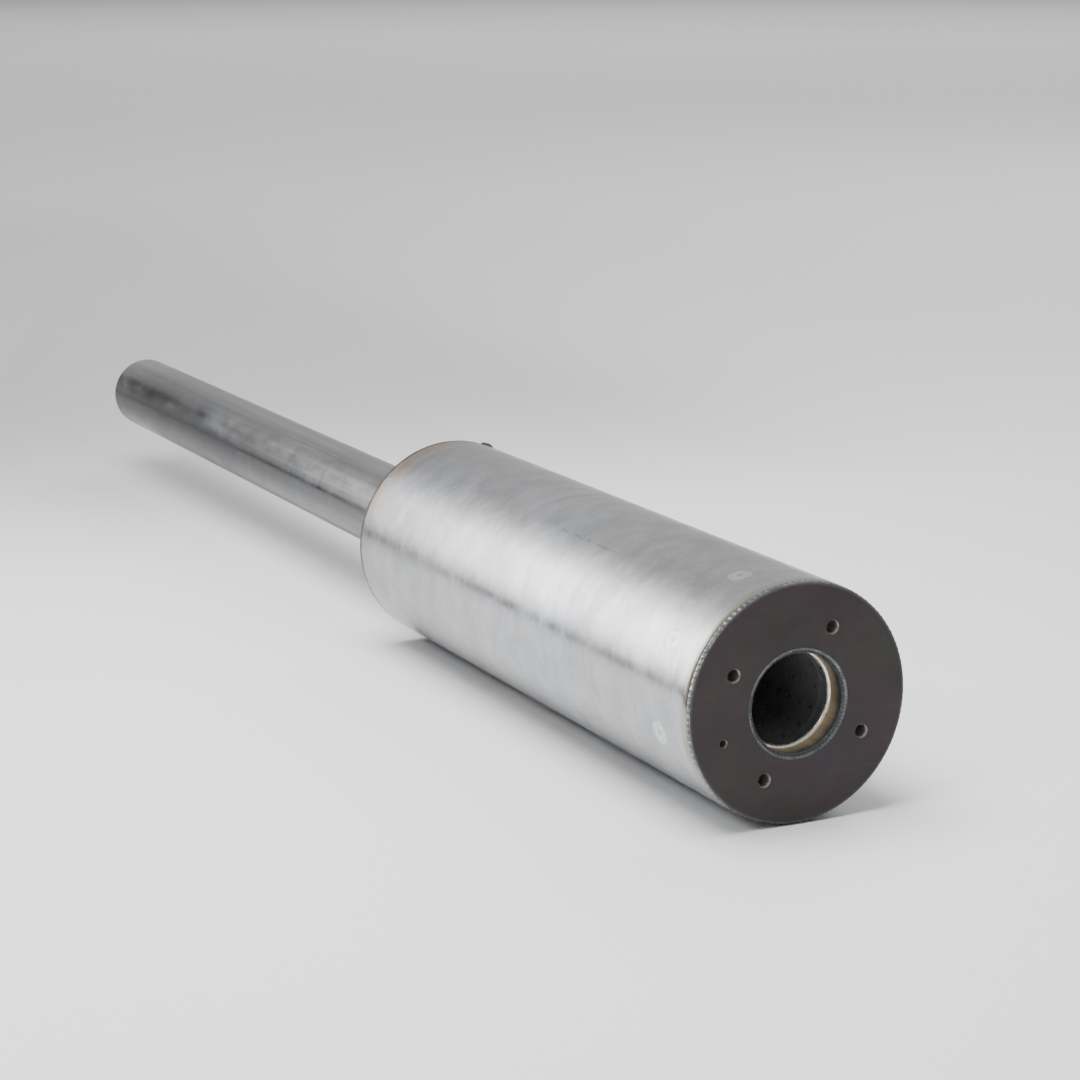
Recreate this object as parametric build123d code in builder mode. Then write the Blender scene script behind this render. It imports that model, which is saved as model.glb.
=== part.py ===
from build123d import *
from math import cos, radians, sin
import os

# Straight-through exhaust muffler: a round welded can with a thick bolting plate at the
# front, a perforated core wrapped in packing, and one long tail pipe out of the rear.
# Millimetres. X runs along the muffler axis, out through the bolting plate. The origin is
# the centre of the plate's outer face. Z is up. Angles are counted from +Y towards +Z.

# ---- tube stock and can ----
PIPE_RADIUS = 22.225
PIPE_WALL = 1.2
PIPE_BORE = PIPE_RADIUS - PIPE_WALL
SHELL_RADIUS = 50.8
SHELL_WALL = 1.5
SHELL_BORE = SHELL_RADIUS - SHELL_WALL
BODY_LENGTH = 342.0
TAIL_LENGTH = 500.0

# ---- bolting plate ----
PLATE_THICKNESS = 10.0
PLATE_RIM_RADIUS = 50.0
PLATE_RIM_DEPTH = 3.0
BOLT_CIRCLE_RADIUS = 33.85
BOLT_COUNT = 4
BOLT_START_ANGLE = 63.2
BOLT_HOLE_RADIUS = 2.5
BOLT_CHAMFER = 0.65
PIN_HOLE_RADIUS = 1.5
PIN_HOLE_DEPTH = 7.0
PIN_CHAMFER = 0.35
PIN_HOLE_ORBIT = 36.64
PIN_HOLE_ANGLE = 199.6

# ---- front rim weld, as (depth, radius) points along its surface ----
RIM_WELD_TOE = 4.6
RIM_WELD_SURFACE = [
    (0.0, PLATE_RIM_RADIUS),
    (0.25, PLATE_RIM_RADIUS + 0.42),
    (0.9, SHELL_RADIUS),
    (2.2, SHELL_RADIUS + 0.2),
    (3.6, SHELL_RADIUS + 0.15),
    (RIM_WELD_TOE, SHELL_RADIUS),
]

# ---- inlet collar, its two welds, as (depth, radius) points, and the stub behind them ----
COLLAR_RECESS = 1.3
COLLAR_END = 9.9
COLLAR_WELD_OUTER = 23.25
COLLAR_WELD_SURFACE = [
    (0.0, COLLAR_WELD_OUTER),
    (0.2, COLLAR_WELD_OUTER - 0.55),
    (0.65, COLLAR_WELD_OUTER - 1.25),
    (1.05, COLLAR_WELD_OUTER - 1.8),
    (COLLAR_RECESS, PIPE_BORE),
]
ROOT_WELD_CREST = 20.2
ROOT_WELD_GAP = 0.9
ROOT_WELD_FRONT = COLLAR_END
ROOT_WELD_REAR = 11.5
ROOT_WELD_MIDDLE = (ROOT_WELD_FRONT + ROOT_WELD_REAR) / 2
ROOT_WELD_SURFACE = [
    (ROOT_WELD_FRONT, PIPE_BORE),
    (ROOT_WELD_MIDDLE - 0.65, ROOT_WELD_CREST + 0.25),
    (ROOT_WELD_MIDDLE, ROOT_WELD_CREST),
    (ROOT_WELD_MIDDLE + 0.65, ROOT_WELD_CREST + 0.25),
    (ROOT_WELD_REAR, PIPE_BORE),
]
STUB_START = COLLAR_END + ROOT_WELD_GAP
STUB_END = 18.6

# ---- perforated core ----
CORE_WALL = 1.2
CORE_BORE = PIPE_RADIUS
CORE_RADIUS = CORE_BORE + CORE_WALL
CORE_START = 12.5
CORE_END = 330.0
HOLE_RADIUS = 1.2
HOLE_COLUMNS = 16
HOLE_START_ANGLE = -25.3
HOLE_RINGS = 33
HOLE_PITCH = 8.8
HOLE_START = 23.9
CORE_SEAM_ANGLE = 165.95
CORE_SEAM_WIDTH = 2.0
TACK_COUNT = 3
TACK_SIZE = 1.6

# ---- baffle behind the plate ----
BAFFLE_FACE = 19.0
BAFFLE_WALL = 1.2
BAFFLE_END = 35.5
BAFFLE_CORNER = 3.0
BAFFLE_CORNER_INSIDE = 3.5
PLUG_X = 26.5
PLUG_COUNT = 8
PLUG_RADIUS = 2.6
PLUG_START_ANGLE = 104.5
PLUG_CROWN = 50.95

# ---- packing ----
WOOL_RADIUS = 26.4

# ---- rear plate and tail pipe ----
REAR_PLATE_THICKNESS = 3.0
REAR_PLATE_FACE = BODY_LENGTH - 0.7
REAR_PLATE_BACK = REAR_PLATE_FACE - REAR_PLATE_THICKNESS
SHELL_FRONT = PLATE_RIM_DEPTH
SHELL_REAR = BODY_LENGTH - 1.1
REAR_WELD_TOE = SHELL_REAR - 0.8
REAR_WELD_INNER = SHELL_BORE - 1.4
REAR_WELD_SURFACE = [
    (REAR_WELD_TOE, SHELL_RADIUS),
    (SHELL_REAR - 0.1, SHELL_RADIUS + 0.15),
    (BODY_LENGTH - 0.3, SHELL_RADIUS),
    (BODY_LENGTH + 0.25, SHELL_RADIUS - 0.6),
    (BODY_LENGTH + 0.3, SHELL_BORE),
    (REAR_PLATE_FACE, REAR_WELD_INNER),
]
TACK_BLOB_ANGLE = 66.0
TACK_BLOB_RADIUS = 3.4
TACK_BLOB_ORBIT = 48.5
TACK_BLOB_FLATTEN = 0.5
TACK_BLOB_STRETCH = 1.55
TAIL_INSIDE = 20.0
TAIL_SPIGOT_RADIUS = 21.9
TAIL_WELD_LEG = 3.6
TAIL_SPIGOT_END = REAR_PLATE_FACE + TAIL_WELD_LEG
TAIL_WELD_SURFACE = [
    (REAR_PLATE_FACE, PIPE_RADIUS + TAIL_WELD_LEG),
    (REAR_PLATE_FACE + 0.9, PIPE_RADIUS + TAIL_WELD_LEG - 0.7),
    (REAR_PLATE_FACE + 2.1, PIPE_RADIUS + TAIL_WELD_LEG - 1.9),
    (TAIL_SPIGOT_END, PIPE_RADIUS),
]

# ---- longitudinal seams ----
SHELL_SEAM_ANGLE = -53.0
SHELL_SEAM_WIDTH = 3.0
SHELL_SEAM_CROWN = 50.9
TAIL_SEAM_ANGLE = 117.5
TAIL_SEAM_WIDTH = 1.4

TAIL_START = BODY_LENGTH - TAIL_INSIDE
TAIL_END = BODY_LENGTH + TAIL_LENGTH


def polar(radius, angle):
    """Return the Y and Z of a point at this radius and angle about the muffler axis."""
    return radius * cos(radians(angle)), radius * sin(radians(angle))


def ring(inner, outer, front, back):
    """Return a tube about the muffler axis between two depths behind the plate face."""
    with BuildPart() as tube:
        with BuildSketch(Plane.YZ.offset(-back)):
            Circle(outer)
            Circle(inner, mode=Mode.SUBTRACT)
        extrude(amount=back - front)
    return tube.part


def disc(radius, front, back):
    """Return a solid round between two depths behind the plate face."""
    with BuildPart() as slug:
        with BuildSketch(Plane.YZ.offset(-back)):
            Circle(radius)
        extrude(amount=back - front)
    return slug.part


def turned(points):
    """Return the ring swept about the axis by a closed outline of (depth, radius) points."""
    with BuildPart() as body:
        with BuildSketch(Plane.XZ):
            with BuildLine():
                Polyline([(-depth, radius) for depth, radius in points], close=True)
            make_face()
        revolve(axis=Axis.X)
    return body.part


def bead(surface, backing):
    """Return a weld ring: a smooth curve through the surface points, closed by the backing."""
    with BuildPart() as body:
        with BuildSketch(Plane.XZ):
            with BuildLine():
                Spline([(-depth, radius) for depth, radius in surface])
                Polyline([(-depth, radius) for depth, radius in backing])
            make_face()
        revolve(axis=Axis.X)
    return body.part


def strip(inner, outer, front, back, angle, width):
    """Return a narrow length of tube wall, as left by a longitudinal seam."""
    length = back - front
    side_y, side_z = polar((inner + outer) / 2, angle)
    with BuildPart() as seam:
        add(ring(inner, outer, front, back))
        with Locations(Location((-(front + back) / 2, side_y, side_z), (angle, 0, 0))):
            Box(length, 4 * (outer - inner), width, mode=Mode.INTERSECT)
    return seam.part


# ---- shell, its seam and the plug welds through it ----
with BuildPart() as baffle_plug_welds:
    for number in range(PLUG_COUNT):
        plug_angle = PLUG_START_ANGLE + number * 360 / PLUG_COUNT
        plug_y, plug_z = polar(SHELL_RADIUS, plug_angle)
        with Locations(Location((-PLUG_X, plug_y, plug_z), (plug_angle - 90, 0, 0))):
            Cylinder(PLUG_RADIUS, 4 * SHELL_WALL)
    add(ring(SHELL_BORE, PLUG_CROWN, SHELL_FRONT, SHELL_REAR), mode=Mode.INTERSECT)

shell_seam_slot = strip(
    SHELL_BORE, SHELL_RADIUS, SHELL_FRONT, SHELL_REAR, SHELL_SEAM_ANGLE, SHELL_SEAM_WIDTH
)
shell_seam_bead = strip(
    SHELL_BORE, SHELL_SEAM_CROWN, RIM_WELD_TOE, REAR_WELD_TOE, SHELL_SEAM_ANGLE, SHELL_SEAM_WIDTH
)
with BuildPart() as outer_shell:
    add(ring(SHELL_BORE, SHELL_RADIUS, SHELL_FRONT, SHELL_REAR))
    add(baffle_plug_welds.part, mode=Mode.SUBTRACT)
    add(shell_seam_slot, mode=Mode.SUBTRACT)

with BuildPart() as shell_seam_weld:
    add(shell_seam_slot)
    add(shell_seam_bead)

# ---- rim welds that close the shell onto the two plates ----
with BuildPart() as front_rim_weld:
    add(
        bead(
            surface=RIM_WELD_SURFACE,
            backing=[
                (RIM_WELD_TOE, SHELL_RADIUS),
                (PLATE_RIM_DEPTH, SHELL_RADIUS),
                (PLATE_RIM_DEPTH, PLATE_RIM_RADIUS),
                (0.0, PLATE_RIM_RADIUS),
            ],
        )
    )
with BuildPart() as rear_rim_weld:
    add(
        bead(
            surface=REAR_WELD_SURFACE,
            backing=[
                (REAR_PLATE_FACE, REAR_WELD_INNER),
                (REAR_PLATE_FACE, SHELL_BORE),
                (SHELL_REAR, SHELL_BORE),
                (SHELL_REAR, SHELL_RADIUS),
                (REAR_WELD_TOE, SHELL_RADIUS),
            ],
        )
    )

# ---- bolting plate ----
with BuildPart() as front_plate:
    add(ring(PIPE_RADIUS, PLATE_RIM_RADIUS, 0, PLATE_RIM_DEPTH))
    add(ring(PIPE_RADIUS, SHELL_BORE, PLATE_RIM_DEPTH, PLATE_THICKNESS))
    with BuildSketch(Plane.YZ):
        with PolarLocations(BOLT_CIRCLE_RADIUS, BOLT_COUNT, start_angle=BOLT_START_ANGLE):
            Circle(BOLT_HOLE_RADIUS)
    extrude(amount=-PLATE_THICKNESS, mode=Mode.SUBTRACT)
    with BuildSketch(Plane.YZ.offset(-BOLT_CHAMFER)):
        with PolarLocations(BOLT_CIRCLE_RADIUS, BOLT_COUNT, start_angle=BOLT_START_ANGLE):
            Circle(BOLT_HOLE_RADIUS)
    extrude(amount=BOLT_CHAMFER, taper=-45, mode=Mode.SUBTRACT)
    pin_y, pin_z = polar(PIN_HOLE_ORBIT, PIN_HOLE_ANGLE)
    with BuildSketch(Plane.YZ):
        with Locations((pin_y, pin_z)):
            Circle(PIN_HOLE_RADIUS)
    extrude(amount=-PIN_HOLE_DEPTH, mode=Mode.SUBTRACT)
    with BuildSketch(Plane.YZ.offset(-PIN_CHAMFER)):
        with Locations((pin_y, pin_z)):
            Circle(PIN_HOLE_RADIUS)
    extrude(amount=PIN_CHAMFER, taper=-45, mode=Mode.SUBTRACT)
    add(
        turned(
            [
                (0.0, PIPE_RADIUS),
                (0.0, COLLAR_WELD_OUTER),
                (COLLAR_RECESS, PIPE_RADIUS),
            ]
        ),
        mode=Mode.SUBTRACT,
    )

# ---- inlet collar, the stub behind it and their welds ----
with BuildPart() as inlet_collar:
    add(ring(PIPE_BORE, PIPE_RADIUS, COLLAR_RECESS, COLLAR_END))

with BuildPart() as inlet_collar_weld:
    add(
        bead(
            surface=COLLAR_WELD_SURFACE,
            backing=[
                (COLLAR_RECESS, PIPE_BORE),
                (COLLAR_RECESS, PIPE_RADIUS),
                (0.0, COLLAR_WELD_OUTER),
            ],
        )
    )

with BuildPart() as core_stub:
    add(ring(PIPE_BORE, PIPE_RADIUS, STUB_START, STUB_END))

with BuildPart() as collar_root_weld:
    add(
        bead(
            surface=ROOT_WELD_SURFACE,
            backing=[
                (ROOT_WELD_REAR, PIPE_BORE),
                (STUB_START, PIPE_BORE),
                (STUB_START, PIPE_RADIUS),
                (COLLAR_END, PIPE_RADIUS),
                (ROOT_WELD_FRONT, PIPE_BORE),
            ],
        )
    )

# ---- perforated core ----
with BuildPart() as core_seam_weld:
    add(strip(CORE_BORE, CORE_RADIUS, CORE_START, CORE_END, CORE_SEAM_ANGLE, CORE_SEAM_WIDTH))

core_holes = [
    Location(
        (-(HOLE_START + row * HOLE_PITCH), 0, 0),
        (HOLE_START_ANGLE + column * 360 / HOLE_COLUMNS - 90, 0, 0),
    )
    for row in range(HOLE_RINGS)
    for column in range(HOLE_COLUMNS // 2)
]
with BuildPart() as perforated_core:
    add(ring(CORE_BORE, CORE_RADIUS, CORE_START, CORE_END))
    add(core_seam_weld.part, mode=Mode.SUBTRACT)
    with Locations(core_holes):
        Cylinder(HOLE_RADIUS, 2 * CORE_RADIUS + CORE_WALL, mode=Mode.SUBTRACT)

with BuildPart() as core_tack_welds:
    with Locations(Plane.YZ.offset(-CORE_START)):
        with PolarLocations(PIPE_RADIUS, TACK_COUNT, start_angle=CORE_SEAM_ANGLE + 60):
            Sphere(TACK_SIZE)
    add(ring(PIPE_RADIUS, SHELL_BORE, PLATE_THICKNESS, CORE_START), mode=Mode.INTERSECT)

# ---- baffle, steel wool and fibre packing ----
baffle_back = BAFFLE_FACE + BAFFLE_WALL
corner_depth = BAFFLE_FACE + BAFFLE_CORNER_INSIDE
corner_radius = SHELL_BORE - BAFFLE_CORNER_INSIDE
with BuildPart() as front_baffle:
    add(
        turned(
            [
                (BAFFLE_FACE, CORE_RADIUS),
                (BAFFLE_FACE, SHELL_BORE - BAFFLE_CORNER),
                (BAFFLE_FACE + BAFFLE_CORNER, SHELL_BORE),
                (BAFFLE_END, SHELL_BORE),
                (BAFFLE_END, SHELL_BORE - BAFFLE_WALL),
                (corner_depth, SHELL_BORE - BAFFLE_WALL),
                (baffle_back, corner_radius),
                (baffle_back, CORE_RADIUS),
            ]
        )
    )

with BuildPart() as steel_wool_wrap:
    add(ring(CORE_RADIUS, WOOL_RADIUS, baffle_back, CORE_END))
    add(ring(TAIL_SPIGOT_RADIUS, WOOL_RADIUS, CORE_END, REAR_PLATE_BACK))

with BuildPart() as fibre_packing:
    add(
        turned(
            [
                (baffle_back, WOOL_RADIUS),
                (baffle_back, corner_radius),
                (corner_depth, SHELL_BORE - BAFFLE_WALL),
                (BAFFLE_END, SHELL_BORE - BAFFLE_WALL),
                (BAFFLE_END, SHELL_BORE),
                (REAR_PLATE_BACK, SHELL_BORE),
                (REAR_PLATE_BACK, WOOL_RADIUS),
            ]
        )
    )

# ---- rear plate, tail pipe and their welds ----
with BuildPart() as rear_plate:
    add(ring(TAIL_SPIGOT_RADIUS, SHELL_BORE, REAR_PLATE_BACK, REAR_PLATE_FACE))

# the pipe's inner end is sized down to enter the rear plate
tail_sizing = ring(TAIL_SPIGOT_RADIUS, PIPE_RADIUS + 1, TAIL_START, TAIL_SPIGOT_END)

with BuildPart() as tail_seam_weld:
    add(strip(PIPE_BORE, PIPE_RADIUS, TAIL_START, TAIL_END, TAIL_SEAM_ANGLE, TAIL_SEAM_WIDTH))
    add(tail_sizing, mode=Mode.SUBTRACT)

with BuildPart() as tail_pipe:
    add(ring(PIPE_BORE, PIPE_RADIUS, TAIL_START, TAIL_END))
    add(tail_sizing, mode=Mode.SUBTRACT)
    add(tail_seam_weld.part, mode=Mode.SUBTRACT)

with BuildPart() as tail_pipe_weld:
    add(
        bead(
            surface=TAIL_WELD_SURFACE,
            backing=[
                (TAIL_SPIGOT_END, PIPE_RADIUS),
                (TAIL_SPIGOT_END, TAIL_SPIGOT_RADIUS),
                (REAR_PLATE_FACE, TAIL_SPIGOT_RADIUS),
                (REAR_PLATE_FACE, PIPE_RADIUS + TAIL_WELD_LEG),
            ],
        )
    )

# ---- lump where the rear rim weld was started and stopped ----
blob = scale(Sphere(TACK_BLOB_RADIUS), by=(TACK_BLOB_FLATTEN, TACK_BLOB_STRETCH, 1))
blob_y, blob_z = polar(TACK_BLOB_ORBIT, TACK_BLOB_ANGLE)
with BuildPart() as rear_rim_tack:
    with Locations(Location((-SHELL_REAR, blob_y, blob_z), (TACK_BLOB_ANGLE - 90, 0, 0))):
        add(blob)
    add(disc(SHELL_RADIUS, REAR_PLATE_BACK, SHELL_REAR), mode=Mode.SUBTRACT)
    add(disc(SHELL_BORE, SHELL_REAR, REAR_PLATE_FACE), mode=Mode.SUBTRACT)
    add(rear_rim_weld.part, mode=Mode.SUBTRACT)

# ---- one STEP file for each piece ----
pieces = {
    "outer_shell": outer_shell,
    "shell_seam_weld": shell_seam_weld,
    "front_plate": front_plate,
    "front_rim_weld": front_rim_weld,
    "inlet_collar": inlet_collar,
    "inlet_collar_weld": inlet_collar_weld,
    "collar_root_weld": collar_root_weld,
    "core_stub": core_stub,
    "core_tack_welds": core_tack_welds,
    "perforated_core": perforated_core,
    "core_seam_weld": core_seam_weld,
    "front_baffle": front_baffle,
    "baffle_plug_welds": baffle_plug_welds,
    "steel_wool_wrap": steel_wool_wrap,
    "fibre_packing": fibre_packing,
    "rear_plate": rear_plate,
    "rear_rim_weld": rear_rim_weld,
    "rear_rim_tack": rear_rim_tack,
    "tail_pipe": tail_pipe,
    "tail_pipe_weld": tail_pipe_weld,
    "tail_seam_weld": tail_seam_weld,
}
os.makedirs("parts", exist_ok=True)
for name, piece in pieces.items():
    piece.part.label = name
    export_step(piece.part, f"parts/{name}.step")
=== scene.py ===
import math

import bpy
import numpy as np
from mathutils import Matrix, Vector


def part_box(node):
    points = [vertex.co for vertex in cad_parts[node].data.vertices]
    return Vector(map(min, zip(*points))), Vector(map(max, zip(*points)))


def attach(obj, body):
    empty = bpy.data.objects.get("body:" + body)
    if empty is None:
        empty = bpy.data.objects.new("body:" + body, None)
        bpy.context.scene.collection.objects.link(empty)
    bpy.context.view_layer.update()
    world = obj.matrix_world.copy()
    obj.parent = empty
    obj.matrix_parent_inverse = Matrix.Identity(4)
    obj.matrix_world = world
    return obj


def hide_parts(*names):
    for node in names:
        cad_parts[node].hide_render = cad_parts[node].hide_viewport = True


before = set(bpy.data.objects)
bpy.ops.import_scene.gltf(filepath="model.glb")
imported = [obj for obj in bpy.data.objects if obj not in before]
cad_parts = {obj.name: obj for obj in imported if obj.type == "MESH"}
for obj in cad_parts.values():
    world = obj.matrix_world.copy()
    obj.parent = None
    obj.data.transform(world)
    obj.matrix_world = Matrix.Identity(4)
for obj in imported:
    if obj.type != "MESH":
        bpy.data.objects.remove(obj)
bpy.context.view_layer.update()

# Looks for the exhaust muffler. Metres, in the frame of the CAD: X runs along the muffler's
# axis and out through the bolting plate, the tail pipe points along -X, and Z is up.
# A "depth" is a distance behind the plate's outer face, so x = -depth.
# An "angle" is counted from +Y towards +Z about the axis, as in the CAD.

MM = 0.001
TURN = 2 * math.pi


# ---- sizes read from the frame ----
def depth_range(node):
    """Return the depths of a node's front and back."""
    low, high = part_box(node)
    return -high.x, -low.x


def outer_radius(node):
    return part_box(node)[1].y


SHELL_RADIUS = outer_radius("outer_shell")
SHELL_FRONT, SHELL_REAR = depth_range("outer_shell")
SHELL_BORE = outer_radius("rear_plate")
PLATE_RADIUS = outer_radius("front_plate")
RIM_CROWN = outer_radius("front_rim_weld")
RIM_WELD_WIDTH = depth_range("front_rim_weld")[1]
PIPE_RADIUS = outer_radius("inlet_collar")
PIPE_BORE = PIPE_RADIUS - 1.2 * MM
PIPE_START, PIPE_END = depth_range("tail_pipe")
COLLAR_MOUTH, COLLAR_END = depth_range("inlet_collar")
COLLAR_WELD_RADIUS = outer_radius("inlet_collar_weld")
ROOT_FRONT, ROOT_REAR = 9.4 * MM, 12.8 * MM
ROOT_CREST = 19.7 * MM
STUB_START, STUB_END = depth_range("core_stub")
REAR_FACE = depth_range("rear_plate")[1]
REAR_WELD_START, REAR_WELD_END = depth_range("rear_rim_weld")
TAIL_WELD_END = depth_range("tail_pipe_weld")[1]
TAIL_WELD_RADIUS = outer_radius("tail_pipe_weld")
PLUG_DEPTH = sum(depth_range("baffle_plug_welds")) / 2
PLUG_ANGLES = [math.radians(104.5 + 45 * number) for number in range(8)]
SHELL_SEAM_ANGLE = math.radians(-53)
TAIL_SEAM_ANGLE = math.radians(117.5)
LUMP_ANGLE = math.radians(66)
LUMP_ORBIT = 48.5 * MM


# ---- mesh building ----
def make_piece(name, points, faces, sharp=0.6, crest=None):
    """Make a mesh object that rides on the muffler, smooth but for its real edges.

    crest, if given, is a height for every point, which the material can read.
    """
    mesh = bpy.data.meshes.new(name)
    mesh.from_pydata([tuple(p) for p in points], [], faces)
    mesh.update()
    mesh.shade_smooth()
    mesh.set_sharp_from_angle(angle=sharp)
    if crest is not None:
        mesh.attributes.new("crest", "FLOAT", "POINT").data.foreach_set("value", crest.ravel())
    piece = bpy.data.objects.new(name, mesh)
    bpy.context.scene.collection.objects.link(piece)
    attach(piece, "root")
    return piece


def spaced(outline, step):
    """Return the closed outline with extra points, no further apart than the step."""
    points = np.array(outline, float)
    out = []
    for start, end in zip(points, np.roll(points, -1, axis=0)):
        count = max(1, math.ceil(np.linalg.norm(end - start) / step))
        out.extend(start + (end - start) * k / count for k in range(count))
    return np.array(out)


def lathe(name, outline, columns, bend=None, sharp=0.6):
    """Revolve a closed outline of (depth, radius) points about the axis.

    bend takes the depth, radius and angle of every point and returns them, moved.
    """
    outline = np.array(outline, float)
    rows = len(outline)
    angle = np.tile(np.arange(columns) * TURN / columns, (rows, 1))
    depth = np.tile(outline[:, :1], (1, columns))
    radius = np.tile(outline[:, 1:], (1, columns))
    crest = None
    if bend:
        depth, radius, angle, *crest = bend(depth, radius, angle)
    points = np.stack([-depth, radius * np.cos(angle), radius * np.sin(angle)], axis=-1)
    row = np.arange(rows)[:, None]
    column = np.arange(columns)[None, :]
    next_row = (row + 1) % rows
    next_column = (column + 1) % columns
    corners = [
        row * columns + column,
        next_row * columns + column,
        next_row * columns + next_column,
        row * columns + next_column,
    ]
    faces = np.stack(corners, axis=-1).reshape(-1, 4)
    return make_piece(name, points.reshape(-1, 3), faces.tolist(), sharp, crest[0] if crest else None)


def swell(seed, count, turns, lengths):
    """Return a smooth random field over depth and angle, of height about 1.

    turns is the most waves round the can, and lengths the range of wavelengths along it.
    """
    random = np.random.default_rng(seed)
    around = random.integers(0, turns + 1, count)
    along = TURN / random.uniform(*lengths, count) * random.choice([-1, 1], count)
    phase = random.uniform(0, TURN, count)

    def field(depth, angle):
        total = sum(
            np.sin(a * angle + k * depth + p) for a, k, p in zip(around, along, phase)
        )
        return total / math.sqrt(count)

    return field


def ripple(along, across, pitch, arch):
    """Height, from 0 to 1, of a weld's overlapping ripples: each is a shallow arc."""
    phase = (along / pitch + arch * across**2) % 1.0
    return np.where(phase < 0.72, phase / 0.72, (1 - phase) / 0.28) ** 1.4


def jitter(seed, columns):
    """A smooth random stretch and squeeze of the angle, so that ripples aren't all alike."""
    random = np.random.default_rng(seed)
    waves = [(m, random.uniform(0, TURN), random.uniform(0.2, 0.5) / m) for m in columns]
    return lambda angle: sum(size * np.sin(m * angle + phase) for m, phase, size in waves)


# ---- the can ----
# where the can begins, behind the front weld
LIP_START = 2.4 * MM


def shell():
    """The rolled can: slightly out of round, drawn in beside its welds, with fine handling marks."""
    waves = swell(11, 14, 5, (0.07, 0.3))
    planish = swell(12, 40, 34, (0.009, 0.04))

    def bend(depth, radius, angle):
        outside = radius > (SHELL_RADIUS + SHELL_BORE) / 2
        move = 0.016 * MM * waves(depth, angle) + 0.006 * MM * planish(depth, angle)
        move -= 0.08 * MM * np.exp(-(depth - LIP_START) / (6 * MM))
        move -= 0.62 * MM * np.clip((LIP_START + 3.4 * MM - depth) / (3.4 * MM), 0, 1) ** 2
        move -= 0.12 * MM * np.exp(-(SHELL_REAR - depth) / (5 * MM))
        for plug in PLUG_ANGLES:
            turned = (angle - plug + math.pi) % TURN - math.pi
            away = np.hypot(depth - PLUG_DEPTH, turned * SHELL_RADIUS)
            move -= 0.07 * MM * np.exp(-((away / (7.5 * MM)) ** 2))
        radius = radius + np.where(outside, move - 0.03 * MM, 0)
        return depth, np.minimum(radius, SHELL_RADIUS), angle

    length = SHELL_REAR - SHELL_FRONT
    lip = [(LIP_START + (SHELL_FRONT - LIP_START) * k / 10, SHELL_RADIUS) for k in range(10)]
    outer = [(SHELL_FRONT + length * k / 270, SHELL_RADIUS) for k in range(271)]
    inner = [(SHELL_REAR - length * k / 12, SHELL_BORE) for k in range(13)]
    return lathe("can_shell", lip + outer + inner + [(LIP_START, SHELL_BORE + 0.7 * MM)], 288, bend)


def bead(start, end, height, steps, roundness=0.8):
    """Return a weld's surface, from one toe to the other, as (depth, radius, share) rows.

    height is how far it bulges to the left of the line from start to end.
    """
    share = np.linspace(0, 1, steps)
    along = np.array(end) - np.array(start)
    across = np.array([along[1], -along[0]]) / np.linalg.norm(along)
    bulge = height * np.sin(math.pi * share) ** roundness
    points = np.array(start) + share[:, None] * along + bulge[:, None] * across
    return np.column_stack([points, share])


def ring_weld(name, start, end, height, back, count, lift, seed, steps=18, fine=9, roundness=0.8,
              arch=0.35, slope=0.0):
    """A rippled weld ring between two toes. back lists the hidden corners that close it.

    count is the number of ripples round it, and lift their height.
    """
    surface = bead(start, end, height, steps, roundness)
    outline = np.vstack([surface[:, :2], back])
    middle = np.array(back).mean(axis=0)
    drift = jitter(seed, (3, 7, 13, 29))
    size = swell(seed + 1, 12, 40, (0.01, 0.05))

    def bend(depth, radius, angle):
        share = np.ones(len(outline)) * -1
        share[: len(surface)] = surface[:, 2]
        share = share[:, None] + 0 * angle
        free = np.clip(np.sin(math.pi * np.clip(share, 0, 1)), 0, 1) ** 0.5
        centred = 2 * share - 1
        steps_round = angle + slope * centred + 0.4 * drift(angle) / count * TURN
        height_here = ripple(steps_round, centred, TURN / count, arch)
        move = lift * free * (height_here - 0.6) * (1 + 0.35 * size(depth, angle))
        move = np.where(share < 0, 0, move)
        out_depth, out_radius = depth - middle[0], radius - middle[1]
        reach = np.hypot(out_depth, out_radius)
        crest = np.where(share < 0, 0, height_here * free)
        return depth + move * out_depth / reach, radius + move * out_radius / reach, angle, crest

    return lathe(name, outline, count * fine, bend, sharp=1.2)


def front_weld():
    """The bead that closes the can onto the bolting plate, with its row of fine ripples."""
    return ring_weld(
        "front_rim_bead",
        start=(0.02 * MM, PLATE_RADIUS),
        end=(LIP_START + 0.25 * MM, SHELL_RADIUS - 0.66 * MM),
        height=-0.55 * MM,
        back=[(2.4 * MM, 49.6 * MM), (1.0 * MM, 49.2 * MM)],
        count=116,
        lift=0.38 * MM,
        seed=21,
    )


def rear_weld():
    """The bead that closes the can onto the rear plate."""
    return ring_weld(
        "rear_rim_bead",
        start=(REAR_WELD_START - 1.5 * MM, SHELL_RADIUS - 0.3 * MM),
        end=(REAR_FACE - 0.05 * MM, 47.7 * MM),
        height=-1.25 * MM,
        back=[(REAR_FACE - 0.6 * MM, 47.9 * MM), (REAR_WELD_START, 49.6 * MM)],
        count=104,
        lift=0.3 * MM,
        seed=31,
        roundness=0.65,
    )


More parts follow.
